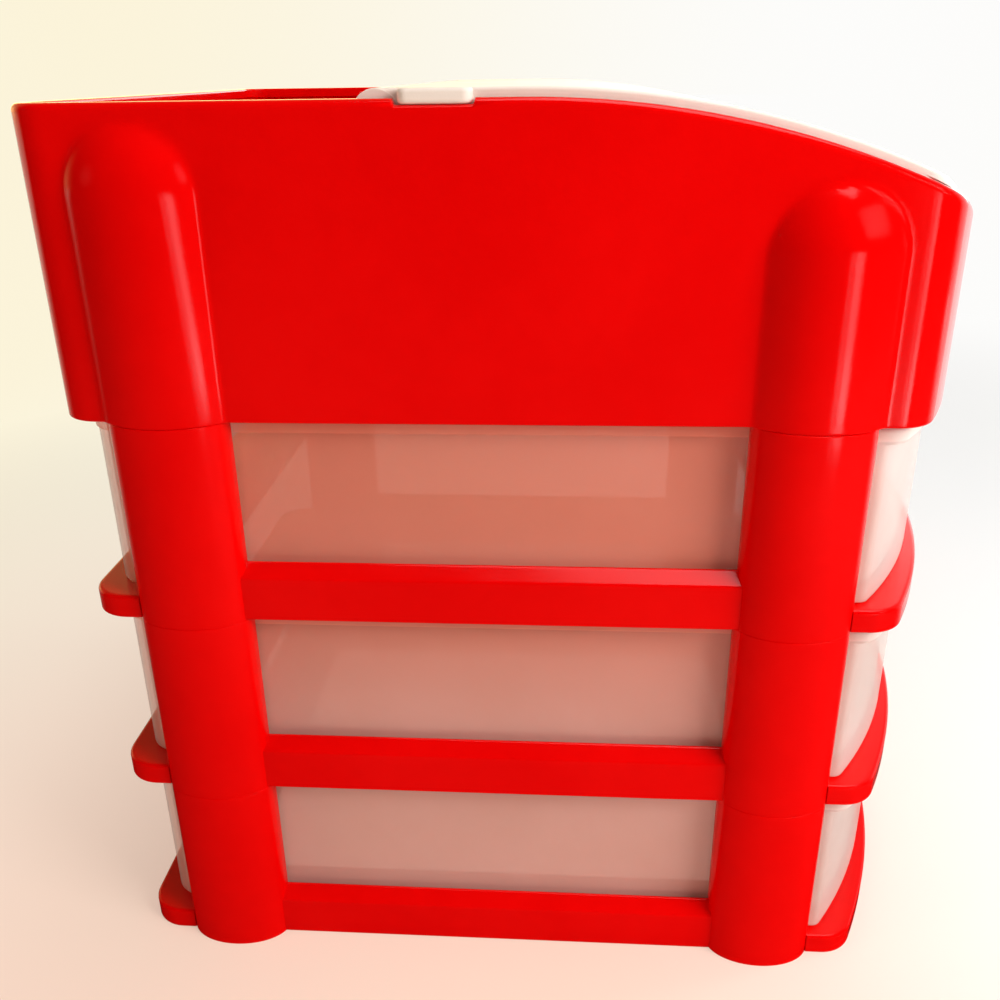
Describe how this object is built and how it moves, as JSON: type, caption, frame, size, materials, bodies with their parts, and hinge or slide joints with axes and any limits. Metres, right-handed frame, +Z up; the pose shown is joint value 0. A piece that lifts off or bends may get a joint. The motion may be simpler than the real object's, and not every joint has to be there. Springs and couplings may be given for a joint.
{
  "type": "desktop drawer organizer",
  "caption": "Tabletop organizer with bowed pull-out drawers stacked between open side frames, under a top bin with an arched hinged lid in front and an open room behind.",
  "frame": {"origin": "middle of the footprint, on the surface that the posts stand on", "axes": "+Z up, +X across the width to the right when facing the drawer fronts, drawer fronts face -Y"},
  "size_m": [0.1694, 0.207, 0.2078],
  "materials": {
    "red_plastic": "glossy moulded",
    "frosted_plastic": "frosted translucent",
    "lid_plastic": "milky translucent"
  },
  "bodies": {
    "cabinet": {"lower_shelf": "red_plastic", "lower_left_frame": "red_plastic", "lower_right_frame": "red_plastic", "middle_shelf": "red_plastic", "middle_left_frame": "red_plastic", "middle_right_frame": "red_plastic", "upper_shelf": "red_plastic", "upper_left_frame": "red_plastic", "upper_right_frame": "red_plastic", "top_bin": "red_plastic", "bin_divider": "red_plastic"},
    "lid": {"top_lid": "lid_plastic"},
    "lower_drawer_body": {"lower_drawer": "frosted_plastic"},
    "middle_drawer_body": {"middle_drawer": "frosted_plastic"},
    "upper_drawer_body": {"upper_drawer": "frosted_plastic"}
  },
  "joints": [
    {"name": "lower_drawer_slide", "type": "slide", "parent": "cabinet", "child": "lower_drawer_body", "axis": [0, -1, 0], "range_m": [0, 0.145]},
    {"name": "middle_drawer_slide", "type": "slide", "parent": "cabinet", "child": "middle_drawer_body", "axis": [0, -1, 0], "range_m": [0, 0.145]},
    {"name": "upper_drawer_slide", "type": "slide", "parent": "cabinet", "child": "upper_drawer_body", "axis": [0, -1, 0], "range_m": [0, 0.145]},
    {"name": "lid_hinge", "type": "hinge", "parent": "cabinet", "child": "lid", "pos_m": [0, 0.03, 0.203], "axis": [-1, 0, 0], "range_deg": [0, 100]}
  ]
}
